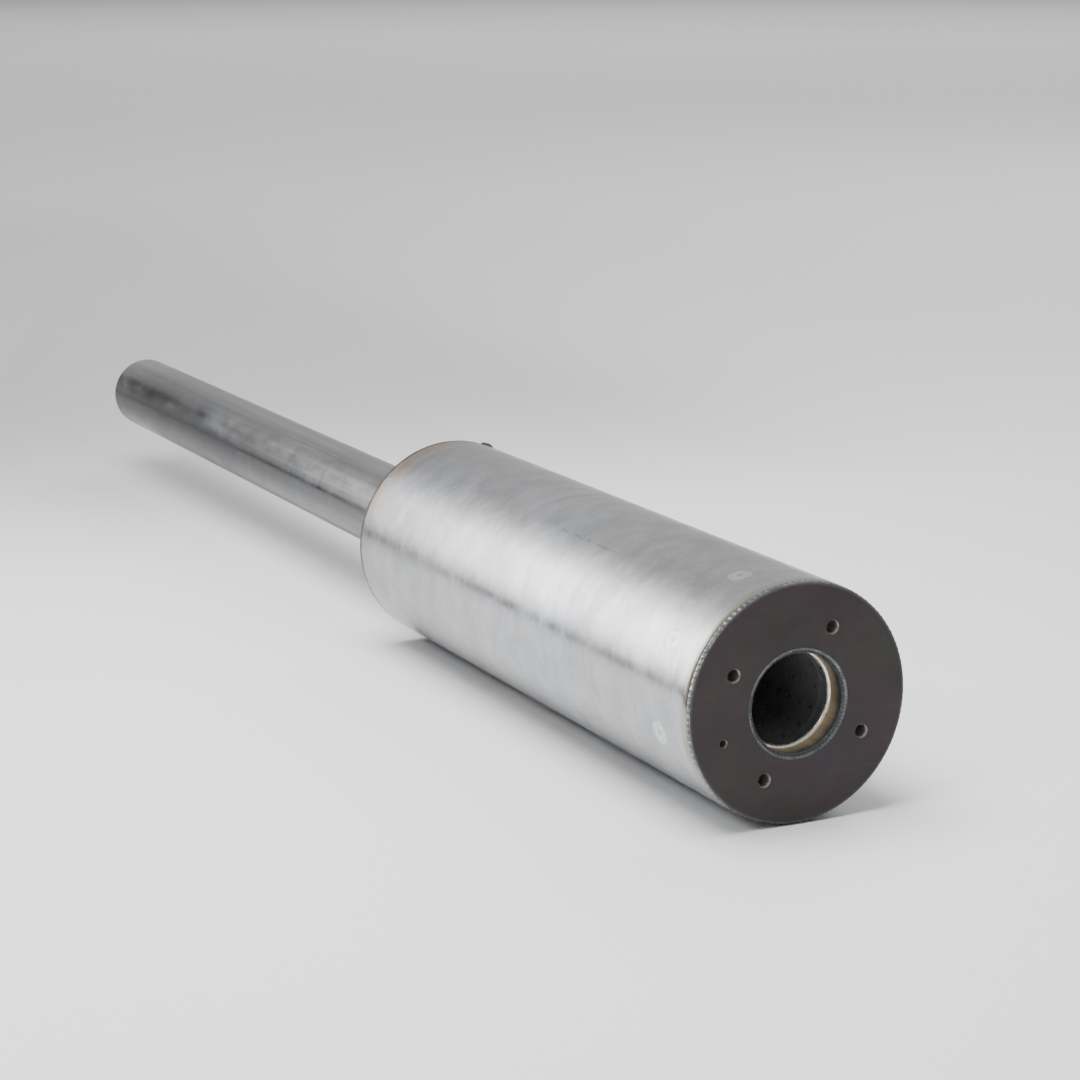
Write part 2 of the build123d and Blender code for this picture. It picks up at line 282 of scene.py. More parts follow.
def plug_welds():
    """Eight round plug welds through the can into the baffle: a raised ring round a crater."""
    rings, spokes = 22, 48
    span = 8.0 * MM
    points, faces = [], []
    for number, plug in enumerate(PLUG_ANGLES):
        uneven = swell(40 + number, 10, 6, (0.003, 0.012))
        first = len(points)
        for k in range(rings + 1):
            out = span * k / rings
            turn = np.arange(spokes) * TURN / spokes
            height = 0.085 * np.exp(-(((out - 3.2 * MM) / (1.9 * MM)) ** 2))
            height -= 0.17 * np.exp(-((out / (1.5 * MM)) ** 2))
            height -= 0.05 + 0.3 * np.clip((out / span - 0.35) / 0.65, 0, 1) ** 2
            height = (height + 0.025 * uneven(out + 0 * turn, turn)) * MM
            depth = PLUG_DEPTH + out * np.cos(turn)
            angle = plug + out * np.sin(turn) / SHELL_RADIUS
            radius = np.minimum(SHELL_RADIUS + height, 50.98 * MM)
            points += list(np.column_stack([-depth, radius * np.cos(angle), radius * np.sin(angle)]))
        for k in range(rings):
            for s in range(spokes):
                t = (s + 1) % spokes
                a, b = first + k * spokes, first + (k + 1) * spokes
                faces.append((a + s, b + s, b + t, a + t))
        rim = first + rings * spokes
        low = len(points)
        turn = np.arange(spokes) * TURN / spokes
        depth = PLUG_DEPTH + span * np.cos(turn)
        angle = plug + span * np.sin(turn) / SHELL_RADIUS
        radius = SHELL_BORE + 0 * turn
        points += list(np.column_stack([-depth, radius * np.cos(angle), radius * np.sin(angle)]))
        for s in range(spokes):
            t = (s + 1) % spokes
            faces.append((rim + s, low + s, low + t, rim + t))
        faces.append(tuple(low + s for s in reversed(range(spokes))))
    return make_piece("plug_welds", points, faces, sharp=1.2)


def seam(name, angle, width, front, back, low, high, pitch, lift, seed, rows_per_ripple=8):
    """A straight seam along a tube: a closed strip with a rippled, slightly crowned top."""
    rows = int((back - front) / pitch * rows_per_ripple)
    across = np.linspace(-1, 1, 11)
    uneven = swell(seed, 16, 0, (0.004, 0.05))
    depth = np.linspace(front, back, rows)[:, None] + 0 * across
    wander = 0.05 * width * uneven(depth, 0 * depth)
    crown = (1 - across**2)[None, :]
    bumps = ripple(depth + 0.3 * MM * uneven(depth, 0 * depth), across[None, :], pitch, 0.4)
    top = low + (high - low) * (0.88 + 0.12 * crown) + lift * crown * (bumps - 0.8)
    turned = angle + (across * width / 2 + wander) / high
    upper = np.stack([-depth, top * np.cos(turned), top * np.sin(turned)], axis=-1)
    lower = np.stack([-depth, low * np.cos(turned), low * np.sin(turned)], axis=-1)
    points = np.concatenate([upper, lower[:, ::-1]], axis=1)
    columns = points.shape[1]
    faces = []
    for k in range(rows - 1):
        for s in range(columns):
            t = (s + 1) % columns
            a, b = k * columns, (k + 1) * columns
            faces.append((a + s, b + s, b + t, a + t))
    faces.append(tuple(reversed(range(columns))))
    faces.append(tuple((rows - 1) * columns + s for s in range(columns)))
    return make_piece(name, points.reshape(-1, 3), faces, sharp=1.2)


def shell_seam():
    """The can's lengthwise weld, on the side away from the camera."""
    return seam("can_seam_bead", SHELL_SEAM_ANGLE, 3.2 * MM, RIM_WELD_WIDTH, REAR_WELD_START,
                SHELL_BORE, SHELL_RADIUS + 0.14 * MM, 2.1 * MM, 0.12 * MM, 51)


def rear_lump():
    """The dark lump on the rear rim, where its weld was started and stopped."""
    centre = Vector((-SHELL_REAR, LUMP_ORBIT * math.cos(LUMP_ANGLE), LUMP_ORBIT * math.sin(LUMP_ANGLE)))
    radial = Vector((0, math.cos(LUMP_ANGLE), math.sin(LUMP_ANGLE)))
    tangent = Vector((0, -radial.z, radial.y))
    uneven = swell(61, 24, 5, (0.5, 2.5))
    rows, columns = 33, 64
    points = []
    for k in range(rows):
        polar = math.pi * k / (rows - 1)
        for s in range(columns):
            turn = TURN * s / columns
            rough = 1 + 0.09 * float(uneven(polar, turn)) * math.sin(polar) ** 0.5
            side = Vector((math.cos(polar), 0, 0)) * 1.6 * MM
            side += tangent * (math.sin(polar) * math.cos(turn) * 5.0 * MM)
            side += radial * (math.sin(polar) * math.sin(turn) * 3.2 * MM)
            points.append(centre + side * rough)
    faces = []
    for k in range(rows - 1):
        for s in range(columns):
            t = (s + 1) % columns
            a, b = k * columns, (k + 1) * columns
            faces.append((a + s, a + t, b + t, b + s))
    return make_piece("rear_rim_lump", points, faces, sharp=1.2)


# ---- the inlet ----
# radius at which the mouth bead turns into the collar
MOUTH_TURN = 22.15 * MM


def mouth_weld():
    """The rippled rim where the collar tube is welded to the plate."""
    return ring_weld(
        "mouth_bead",
        start=(0.03 * MM, COLLAR_WELD_RADIUS - 0.1 * MM),
        end=(COLLAR_MOUTH + 0.5 * MM, PIPE_BORE + 0.05 * MM),
        height=0.42 * MM,
        back=[(2.2 * MM, PIPE_RADIUS - 0.3 * MM), (1.1 * MM, COLLAR_WELD_RADIUS - 0.1 * MM)],
        count=88,
        lift=0.28 * MM,
        seed=71,
        arch=0.2,
        slope=0.02,
    )


def root_weld():
    """The smooth bright bead where the collar meets the stub behind it."""
    return ring_weld(
        "root_bead",
        start=(ROOT_FRONT, PIPE_BORE + 0.05 * MM),
        end=(ROOT_REAR, PIPE_BORE + 0.05 * MM),
        height=PIPE_BORE - ROOT_CREST,
        back=[(ROOT_REAR - 0.3 * MM, PIPE_RADIUS), (ROOT_FRONT + 0.3 * MM, PIPE_RADIUS)],
        count=96,
        lift=0.012 * MM,
        seed=81,
        roundness=0.62,
    )


def collar():
    """The collar tube, turned smooth inside."""
    outline = [
        (COLLAR_MOUTH, PIPE_BORE),
        (COLLAR_END, PIPE_BORE),
        (COLLAR_END, PIPE_RADIUS),
        (COLLAR_MOUTH, PIPE_RADIUS),
    ]
    uneven = swell(91, 14, 4, (0.004, 0.02))

    def bend(depth, radius, angle):
        inside = radius < (PIPE_BORE + PIPE_RADIUS) / 2
        return depth, radius + np.where(inside, 0.012 * MM * uneven(depth, angle), 0), angle

    return lathe("collar_tube", spaced(outline, 0.3 * MM), 256, bend)


def stub():
    """The stub that carries the core, with a rounded end."""
    edge = 0.45 * MM
    rounded = [
        (STUB_END - edge + edge * math.sin(turn), PIPE_BORE + edge - edge * math.cos(turn))
        for turn in np.linspace(0, math.pi / 2, 6)
    ]
    outline = [(STUB_START, PIPE_BORE), *rounded, (STUB_END, PIPE_RADIUS), (STUB_START, PIPE_RADIUS)]
    return lathe("stub_tube", spaced(outline, 0.5 * MM), 256)


# ---- the rear end ----
def rear_disc():
    """The rear plate, pulled in a little between its welds."""
    outline = [
        (REAR_FACE - 3 * MM, PIPE_RADIUS),
        (REAR_FACE - 3 * MM, SHELL_BORE),
        (REAR_FACE, SHELL_BORE),
        (REAR_FACE, PIPE_RADIUS),
    ]
    waves = swell(101, 10, 4, (0.02, 0.06))

    def bend(depth, radius, angle):
        share = (radius - PIPE_RADIUS) / (SHELL_BORE - PIPE_RADIUS)
        pull = 0.18 * MM * np.sin(math.pi * np.clip(share, 0, 1)) + 0.02 * MM * waves(radius, angle)
        return depth - np.where(depth > REAR_FACE - 1 * MM, pull, 0), radius, angle

    return lathe("rear_disc", spaced(outline, 1.0 * MM), 240, bend)


def tail():
    """The tail pipe: drawn tube with a slightly rounded, hand-dressed cut end."""
    edge = 0.3 * MM
    outline = [
        (PIPE_START, PIPE_RADIUS),
        (PIPE_END - edge, PIPE_RADIUS),
        (PIPE_END - edge * 0.3, PIPE_RADIUS - edge * 0.3),
        (PIPE_END, PIPE_RADIUS - edge),
        (PIPE_END, PIPE_BORE + edge),
        (PIPE_END - edge, PIPE_BORE),
        (PIPE_START, PIPE_BORE),
    ]
    waves = swell(111, 16, 4, (0.05, 0.4))
    drawn = swell(112, 30, 30, (0.02, 0.2))

    def bend(depth, radius, angle):
        move = 0.006 * MM * waves(depth, angle) + 0.0018 * MM * drawn(depth, angle) - 0.015 * MM
        return depth, radius + move, angle

    return lathe("tail_tube", spaced(outline, 2.0 * MM), 192, bend)


def tail_seam():
    """The thin dark seam along the tail pipe."""
    return seam("tail_seam_line", TAIL_SEAM_ANGLE, 1.1 * MM, PIPE_START, PIPE_END - 0.2 * MM,
                PIPE_BORE - 0.2 * MM, PIPE_RADIUS + 0.02 * MM, 3.0 * MM, 0.02 * MM, 121, rows_per_ripple=4)


def tail_weld():
    """The fillet where the tail pipe meets the rear plate."""
    return ring_weld(
        "tail_fillet_bead",
        start=(REAR_FACE - 0.25 * MM, TAIL_WELD_RADIUS),
        end=(TAIL_WELD_END, PIPE_RADIUS - 0.1 * MM),
        height=-0.35 * MM,
        back=[
            (TAIL_WELD_END - 1.0 * MM, PIPE_RADIUS - 0.5 * MM),
            (REAR_FACE - 0.4 * MM, PIPE_RADIUS + 0.5 * MM),
        ],
        count=52,
        lift=0.3 * MM,
        seed=131,
        fine=14,
    )


# ---- material building ----
class Surface:
    """A procedural material, with short calls for the nodes it is made of."""

    def __init__(self, name, metallic, anisotropic=0.0):
        self.material = bpy.data.materials.new(name)
        self.material.use_nodes = True
        self.nodes = self.material.node_tree.nodes
        self.links = self.material.node_tree.links
        self.shader = self.nodes["Principled BSDF"]
        self.shader.inputs["Metallic"].default_value = metallic
        self.place = self.nodes.new("ShaderNodeTexCoord").outputs["Object"]
        if anisotropic:
            self.shader.inputs["Anisotropic"].default_value = anisotropic
            tangent = self.nodes.new("ShaderNodeTangent")
            tangent.direction_type = "RADIAL"
            tangent.axis = "X"
            self.links.new(tangent.outputs["Tangent"], self.shader.inputs["Tangent"])
        split = self.nodes.new("ShaderNodeSeparateXYZ")
        self.links.new(self.place, split.inputs[0])
        self.y, self.z = split.outputs["Y"], split.outputs["Z"]
        self.depth = self.math("MULTIPLY", split.outputs["X"], -1.0)
        self.angle = self.math("ARCTAN2", self.z, self.y)
        # 0 at the top, growing towards -Y, the camera's side
        self.lean = self.math("ARCTAN2", self.math("MULTIPLY", self.y, -1.0), self.z)
        self.radius = self.math("SQRT", self.math("ADD", self.square(self.y), self.square(self.z)))

    def put(self, socket, value):
        """Link a socket's value in, or set a plain one."""
        if isinstance(value, bpy.types.NodeSocket):
            self.links.new(value, socket)
        elif isinstance(value, tuple) and len(value) == 3 and socket.type == "RGBA":
            socket.default_value = (*value, 1)
        else:
            socket.default_value = value

    def math(self, operation, a, b=0.0):
        node = self.nodes.new("ShaderNodeMath")
        node.operation = operation
        self.put(node.inputs[0], a)
        self.put(node.inputs[1], b)
        return node.outputs[0]

    def square(self, value):
        return self.math("MULTIPLY", value, value)

    def noise(self, scale, stretch=(1, 1, 1), detail=3.0, rough=0.5, shift=(0, 0, 0), warp=0.0):
        """Noise of this scale per metre, finer along the axes whose stretch is larger."""
        mapping = self.nodes.new("ShaderNodeMapping")
        self.put(mapping.inputs["Vector"], self.place)
        mapping.inputs["Scale"].default_value = stretch
        mapping.inputs["Location"].default_value = shift
        node = self.nodes.new("ShaderNodeTexNoise")
        self.put(node.inputs["Vector"], mapping.outputs[0])
        node.inputs["Scale"].default_value = scale
        node.inputs["Detail"].default_value = detail
        node.inputs["Roughness"].default_value = rough
        node.inputs["Distortion"].default_value = warp
        return node.outputs["Fac"]

    def scratches(self, scale, tilt, thin, shift=(0, 0, 0)):
        """Long thin marks, as 1 in a mark and 0 elsewhere, laid at a tilt to the tube's length."""
        turned = self.nodes.new("ShaderNodeMapping")
        self.put(turned.inputs["Vector"], self.place)
        turned.inputs["Rotation"].default_value = tilt
        turned.inputs["Location"].default_value = shift
        turned.inputs["Scale"].default_value = (1.0, 0.06, 0.06)
        node = self.nodes.new("ShaderNodeTexNoise")
        self.put(node.inputs["Vector"], turned.outputs[0])
        node.inputs["Scale"].default_value = scale
        node.inputs["Detail"].default_value = 1.0
        crest = self.math("ABSOLUTE", self.math("SUBTRACT", node.outputs["Fac"], 0.5))
        return self.span(crest, thin, 0.0)

    def span(self, value, low, high, to_low=0.0, to_high=1.0, smooth=True):
        """Carry a value from one range into another, without going past its ends."""
        node = self.nodes.new("ShaderNodeMapRange")
        node.interpolation_type = "SMOOTHSTEP" if smooth else "LINEAR"
        self.put(node.inputs["Value"], value)
        node.inputs["From Min"].default_value = low
        node.inputs["From Max"].default_value = high
        node.inputs["To Min"].default_value = to_low
        node.inputs["To Max"].default_value = to_high
        return node.outputs["Result"]

    def band(self, value, middle, width):
        """1 at the middle of a band, and 0 beyond its width to either side."""
        away = self.math("ABSOLUTE", self.math("SUBTRACT", value, middle))
        return self.span(away, width, 0.0)

    def ramp(self, value, stops):
        node = self.nodes.new("ShaderNodeValToRGB")
        self.put(node.inputs["Fac"], value)
        elements = node.color_ramp.elements
        while len(elements) < len(stops):
            elements.new(1.0)
        for element, (position, color) in zip(elements, stops):
            element.position = position
            element.color = (*color, 1)
        return node.outputs["Color"]

    def level(self, value, full, stops):
        """Carry a value through plain levels up to 2, at shares of its full range."""
        color = self.ramp(self.math("DIVIDE", value, full), [
            (share, (level / 2, level / 2, level / 2)) for share, level in stops
        ])
        return self.math("MULTIPLY", color, 2.0)

    def mix(self, share, a, b):
        node = self.nodes.new("ShaderNodeMix")
        node.data_type = "RGBA"
        self.put(node.inputs[0], share)
        self.put(node.inputs[6], a)
        self.put(node.inputs[7], b)
        return node.outputs[2]

    def shade(self, color, amount):
        """Multiply a colour by a plain number or a number socket."""
        node = self.nodes.new("ShaderNodeVectorMath")
        node.operation = "SCALE"
        self.put(node.inputs[0], color)
        self.put(node.inputs["Scale"], amount)
        return node.outputs[0]

    def bump(self, height, size, normal=None):
        """Raise the surface by height times this many metres."""
        node = self.nodes.new("ShaderNodeBump")
        node.inputs["Distance"].default_value = size
        self.put(node.inputs["Height"], height)
        if normal is not None:
            self.put(node.inputs["Normal"], normal)
        return node.outputs["Normal"]

    def finish(self, color, roughness, normal=None):
        self.put(self.shader.inputs["Base Color"], color)
        self.put(self.shader.inputs["Roughness"], roughness)
        if normal is not None:
            self.put(self.shader.inputs["Normal"], normal)
        return self.material

    def glow(self, level):
        """Turn the material into a plain light of this level."""
        self.put(self.shader.inputs["Emission Color"], (1, 1, 1))
        self.put(self.shader.inputs["Emission Strength"], level)
        self.put(self.shader.inputs["Base Color"], (0, 0, 0))
        self.put(self.shader.inputs["Specular IOR Level"], 0.0)
        return self.material


def brushed_shell():
    """Rolled stainless sheet: satin, with faint round-and-round lines, stains and weld tints, and painted
    shade low down and at the rear.
    """
    s = Surface("brushed_shell", 1.0, anisotropic=0.35)
    blotch = s.noise(14, detail=4, rough=0.6)
    cloud = s.noise(75, detail=3, shift=(3, 1, 2))
    lines = s.noise(26, stretch=(26, 1.6, 1.6), detail=3, rough=0.65, warp=0.25)
    fine = s.noise(60, stretch=(30, 1, 1), detail=2, rough=0.6, shift=(5, 0, 0))
    tone = s.math(
        "ADD",
        s.span(blotch, 0.3, 0.7, 0.87, 1.09, False),
        s.span(cloud, 0.3, 0.7, -0.11, 0.11, False),
    )
    smudge = s.noise(38, stretch=(1.6, 1, 1), detail=4, rough=0.65, shift=(8, 3, 5), warp=0.8)
    tone = s.math("ADD", tone, s.span(smudge, 0.32, 0.68, -0.1, 0.08, False))
    tone = s.math("ADD", tone, s.span(lines, 0.3, 0.7, -0.028, 0.028, False))
    mottle = s.noise(260, detail=4, rough=0.65, shift=(2, 2, 7))
    tone = s.math("ADD", tone, s.span(mottle, 0.3, 0.7, -0.06, 0.05, False))
    # painted shade: darker towards the rear end and on the lower side towards the camera
    tone = s.math("MULTIPLY", tone, s.span(s.depth, 0.2, 0.335, 1.0, 0.8, False))
    tone = s.math("MULTIPLY", tone, s.span(s.lean, math.radians(82), math.radians(122), 1.0, 0.84, False))
    steel = s.shade(
        s.mix(s.span(s.noise(9, shift=(7, 7, 1)), 0.4, 0.7), (0.398, 0.407, 0.432), (0.405, 0.404, 0.398)),
        tone,
    )

    wander = s.span(s.noise(160, shift=(1, 4, 0)), 0.2, 0.8, -0.0009, 0.0009, False)
    near = s.math("ADD", s.depth, wander)
    steel = s.mix(s.math("MULTIPLY", s.band(near, 8.6 * MM, 3 * MM), 0.3), steel, (0.4, 0.44, 0.52))
    steel = s.mix(s.math("MULTIPLY", s.span(near, 7.4 * MM, 4.6 * MM), 0.85), steel, (0.33, 0.305, 0.25))
    steel = s.mix(s.span(s.depth, 3.5 * MM, 2.7 * MM), steel, (0.17, 0.165, 0.15))
    top = s.band(s.angle, math.radians(110), math.radians(42))
    warm = s.math("ADD", s.math("MULTIPLY", top, 0.62), 0.38)
    patchy = s.span(s.noise(230, shift=(2, 9, 4), detail=4), 0.35, 0.62)
    rear = s.span(near, 0.3372, 0.3402)
    steel = s.mix(
        s.math("MULTIPLY", s.band(near, 0.3275, 6 * MM), s.math("MULTIPLY", warm, 0.3)),
        steel,
        (0.4, 0.44, 0.53),
    )
    halo = s.math("MULTIPLY", s.span(near, 0.317, 0.336), s.span(patchy, 0, 1, 0.5, 1, False))
    steel = s.mix(s.math("MULTIPLY", halo, warm), steel, (0.29, 0.19, 0.1))
    steel = s.mix(
        s.math("MULTIPLY", rear, s.span(patchy, 0, 1, 0.85, 1, False)),
        steel,
        (0.03, 0.02, 0.013),
    )

    drag = s.math(
        "MULTIPLY",
        s.band(s.angle, math.radians(122), 1.1 * MM / SHELL_RADIUS),
        s.band(s.depth, 0.135, 0.042),
    )
    torn = s.span(s.noise(160, stretch=(1, 3, 3), shift=(0, 2, 6)), 0.36, 0.6)
    drag = s.math("MULTIPLY", drag, torn)
    marks = s.math(
        "MAXIMUM",
        s.scratches(95, (0.2, 0.5, 0.35), 0.012),
        s.scratches(70, (0.9, -0.4, 0.2), 0.009, (4, 2, 0)),
    )
    sparse = s.span(s.noise(11, shift=(0, 6, 3)), 0.5, 0.62)
    marks = s.math("MULTIPLY", marks, sparse)
    steel = s.mix(s.math("MULTIPLY", drag, 0.7), steel, (0.13, 0.13, 0.14))
    steel = s.mix(s.math("MULTIPLY", marks, 0.4), steel, (0.2, 0.2, 0.21))

    rough = s.math(
        "ADD",
        s.span(lines, 0.3, 0.7, 0.172, 0.222, False),
        s.span(cloud, 0.3, 0.7, -0.03, 0.05, False),
    )
    rough = s.math("ADD", rough, s.span(smudge, 0.35, 0.65, 0.05, -0.015, False))
    rough = s.math("ADD", rough, s.math("MULTIPLY", rear, 0.2))
    height = s.math("ADD", s.math("MULTIPLY", lines, 0.07), s.math("MULTIPLY", fine, 0.07))
    height = s.math("ADD", height, s.math("MULTIPLY", mottle, 0.7))
    height = s.math("SUBTRACT", height, s.math("MULTIPLY", marks, 0.8))
    height = s.math("SUBTRACT", height, s.math("MULTIPLY", drag, 2.0))
    return s.finish(steel, rough, s.bump(height, 0.012 * MM))


# Painted shade and reflection in the pipe's tone, matched to the camera's side: by angle from the top
# towards -Y, as a share of half a turn, then by depth over 0.9 m for its lower side, and for all of it.
PIPE_PAINTED_LIGHT_ROUND = [
    (0.0, 1.0), (10 / 180, 1.25), (22 / 180, 0.95), (40 / 180, 0.9), (66 / 180, 0.92),
    (78 / 180, 0.55), (90 / 180, 0.36), (103 / 180, 0.4), (120 / 180, 0.32), (1.0, 0.45),
]
PIPE_PAINTED_SHADE_LOWER = [
    (0.45 / 0.9, 1.0), (0.55 / 0.9, 0.72), (0.65 / 0.9, 0.52),
    (0.75 / 0.9, 0.42), (0.842 / 0.9, 0.55),
]
PIPE_PAINTED_LIGHT_ALONG = [
    (0.34 / 0.9, 1.0), (0.45 / 0.9, 0.78), (0.55 / 0.9, 0.74), (0.65 / 0.9, 0.64),
    (0.75 / 0.9, 0.54), (0.79 / 0.9, 0.6), (0.835 / 0.9, 0.85),
]


def pipe_steel():
    """Drawn tube: lengthwise lines, dull grey-blue mottling, a few handling marks; painted shade by angle
    and depth.
    """
    s = Surface("pipe_steel", 1.0, anisotropic=0.3)
    s.shader.inputs["Anisotropic Rotation"].default_value = 0.25
    along = s.noise(40, stretch=(0.12, 7, 7), detail=4, rough=0.6)
    blotch = s.noise(26, stretch=(0.6, 1, 1), detail=5, rough=0.62, shift=(4, 0, 2))
    cloud = s.noise(130, stretch=(0.5, 1, 1), detail=3, shift=(1, 8, 2))
    tone = s.math(
        "ADD",
        s.span(along, 0.3, 0.7, 0.78, 1.16, False),
        s.span(blotch, 0.3, 0.7, -0.16, 0.14, False),
    )
    tone = s.math("ADD", tone, s.span(cloud, 0.25, 0.75, -0.1, 0.1, False))
    tint = s.mix(s.span(s.noise(12, shift=(3, 3, 0)), 0.35, 0.65), (0.292, 0.3, 0.322), (0.312, 0.308, 0.3))
    steel = s.shade(tint, tone)
    waver = s.math("ADD", s.lean, s.span(blotch, 0.2, 0.8, -0.07, 0.07, False))
    # painted shade and reflection: brighter near the top, darker on the side and underside, and varying
    # with depth
    steel = s.shade(steel, s.level(waver, math.pi, PIPE_PAINTED_LIGHT_ROUND))
    steel = s.shade(
        steel,
        s.level(s.math("ADD", s.depth, s.span(cloud, 0.2, 0.8, -0.01, 0.01, False)), 0.9, PIPE_PAINTED_LIGHT_ALONG),
    )
    lower = s.span(waver, math.radians(62), math.radians(88))
    shade_by_depth = s.level(s.depth, 0.9, PIPE_PAINTED_SHADE_LOWER)
    steel = s.shade(steel, s.math("ADD", 1.0, s.math("MULTIPLY", lower, s.math("SUBTRACT", shade_by_depth, 1.0))))
    near = s.math("ADD", s.depth, s.span(cloud, 0.2, 0.8, -1.2 * MM, 1.2 * MM, False))
    steel = s.mix(
        s.math("MULTIPLY", s.span(near, REAR_FACE + 12 * MM, REAR_FACE + 3 * MM), 0.6),
        steel,
        (0.5, 0.36, 0.2),
    )
    steel = s.mix(
        s.math("MULTIPLY", s.band(near, REAR_FACE + 17 * MM, 8 * MM), 0.35),
        steel,
        (0.36, 0.42, 0.6),
    )
    marks = s.math(
        "MULTIPLY",
        s.scratches(80, (0, 0, 0.1), 0.012),
        s.span(s.noise(16, shift=(0, 6, 3)), 0.48, 0.6),
    )
    steel = s.mix(s.math("MULTIPLY", marks, 0.35), steel, (0.25, 0.25, 0.26))
    inside = s.span(s.radius, PIPE_RADIUS - 0.4 * MM, PIPE_RADIUS - 0.8 * MM)
    steel = s.mix(s.math("MULTIPLY", inside, 0.6), steel, (0.2, 0.19, 0.18))
    rough = s.math(
        "ADD",
        s.span(blotch, 0.3, 0.7, 0.16, 0.27, False),
        s.span(cloud, 0.3, 0.7, -0.03, 0.04, False),
    )
    height = s.math("ADD", s.math("MULTIPLY", along, 0.6), s.math("MULTIPLY", cloud, 0.4))
    height = s.math("SUBTRACT", height, s.math("MULTIPLY", marks, 0.8))
    return s.finish(steel, rough, s.bump(height, 0.02 * MM))


def weld_metal(name, bright, dark, crest=None, grain=900, roughness=(0.2, 0.42), metallic=1.0,
               tooth=0.04):
    """Weld bead: clean or tinted, with a fine frozen texture. crest colours its ripples' tops lighter, a
    painted highlight.
    """
    s = Surface(name, metallic)
    patch = s.noise(150, detail=4, rough=0.6)
    speck = s.noise(grain, detail=3)
    color = s.mix(s.span(patch, 0.38, 0.66), bright, dark)
    if crest:
        raised = s.nodes.new("ShaderNodeAttribute")
        raised.attribute_name = "crest"
        broken = s.span(s.noise(520, detail=3, shift=(6, 1, 4)), 0.4, 0.62, 0.15, 1.0, False)
        tops = s.math("MULTIPLY", s.span(raised.outputs["Fac"], 0.45, 0.95), broken)
        # painted highlight: the ripples' tops take the lighter crest colour
        color = s.mix(tops, color, crest)
    color = s.shade(color, s.span(speck, 0.25, 0.75, 0.8, 1.12, False))
    rough = s.math(
        "ADD",
        s.span(patch, 0.3, 0.7, *roughness, False),
        s.span(speck, 0.3, 0.7, -0.04, 0.06, False),
    )
    return s.finish(color, rough, s.bump(speck, tooth * MM))


def mouth_metal():
    """The collar's rim bead: grey-blue heat tint with painted highlights of dull silver on its ripple tops,
    darker where it turns in.
    """
    s = Surface("mouth_metal", 0.8)
    patch = s.noise(150, detail=4, rough=0.6)
    speck = s.noise(900, detail=3)
    raised = s.nodes.new("ShaderNodeAttribute")
    raised.attribute_name = "crest"
    color = s.mix(s.span(patch, 0.38, 0.66), (0.13, 0.138, 0.152), (0.07, 0.075, 0.084))
    # painted highlight: lighter silver on the ripples' tops
    color = s.mix(s.span(raised.outputs["Fac"], 0.5, 0.95, 0, 0.5), color, (0.36, 0.37, 0.375))
    turned_in = s.span(s.radius, MOUTH_TURN + 0.15 * MM, MOUTH_TURN - 0.15 * MM)
    color = s.mix(turned_in, color, (0.055, 0.06, 0.055))
    color = s.shade(color, s.span(speck, 0.25, 0.75, 0.8, 1.12, False))
    return s.finish(color, s.span(patch, 0.3, 0.7, 0.22, 0.42, False), s.bump(speck, 0.03 * MM))


def collar_steel():
    """The collar's bore: blue-grey by the mouth, turning to straw and bronze by the root bead, with a
    painted highlight on the stub's rounded end.
    """
    s = Surface("collar_steel", 0.4)
    patch = s.noise(140, stretch=(0.4, 1, 1), detail=4, rough=0.6)
    streak = s.noise(420, stretch=(0.12, 1, 1), detail=3)
    near = s.math("ADD", s.depth, s.span(patch, 0.2, 0.8, -1.6 * MM, 1.6 * MM, False))
    share = s.span(near, 1.3 * MM, 10.5 * MM, 0, 1, False)
    color = s.ramp(share, [
        (0.0, (0.05, 0.055, 0.05)),
        (0.22, (0.1, 0.1, 0.085)),
        (0.4, (0.27, 0.225, 0.15)),
        (0.65, (0.42, 0.33, 0.2)),
        (0.88, (0.5, 0.42, 0.29)),
        (1.0, (0.5, 0.46, 0.38)),
    ])
    past = s.span(s.depth, 10.6 * MM, 11.2 * MM)
    color = s.mix(past, color, (0.22, 0.255, 0.27))
    # painted highlight: a pale band along the stub's rounded rear edge
    lip = s.span(s.depth, STUB_END - 0.8 * MM, STUB_END - 0.4 * MM)
    color = s.mix(lip, color, (0.5, 0.5, 0.48))
    color = s.shade(color, s.span(streak, 0.25, 0.75, 0.8, 1.15, False))
    rough = s.span(patch, 0.3, 0.7, 0.34, 0.46, False)
    return s.finish(color, rough, s.bump(s.math("ADD", streak, patch), 0.012 * MM))


def core_steel():
    """Perforated core: dull sheet, sooted a little, with drawing lines round it."""
    s = Surface("core_steel", 0.3)
    patch = s.noise(90, detail=4)
    grain = s.noise(700, stretch=(1, 0.3, 0.3), detail=2)
    color = s.shade(
        s.mix(patch, (0.20, 0.185, 0.2), (0.27, 0.255, 0.265)),
        s.span(grain, 0.2, 0.8, 0.85, 1.1, False),
    )
    return s.finish(color, s.span(patch, 0.3, 0.7, 0.4, 0.55, False), s.bump(grain, 0.03 * MM))


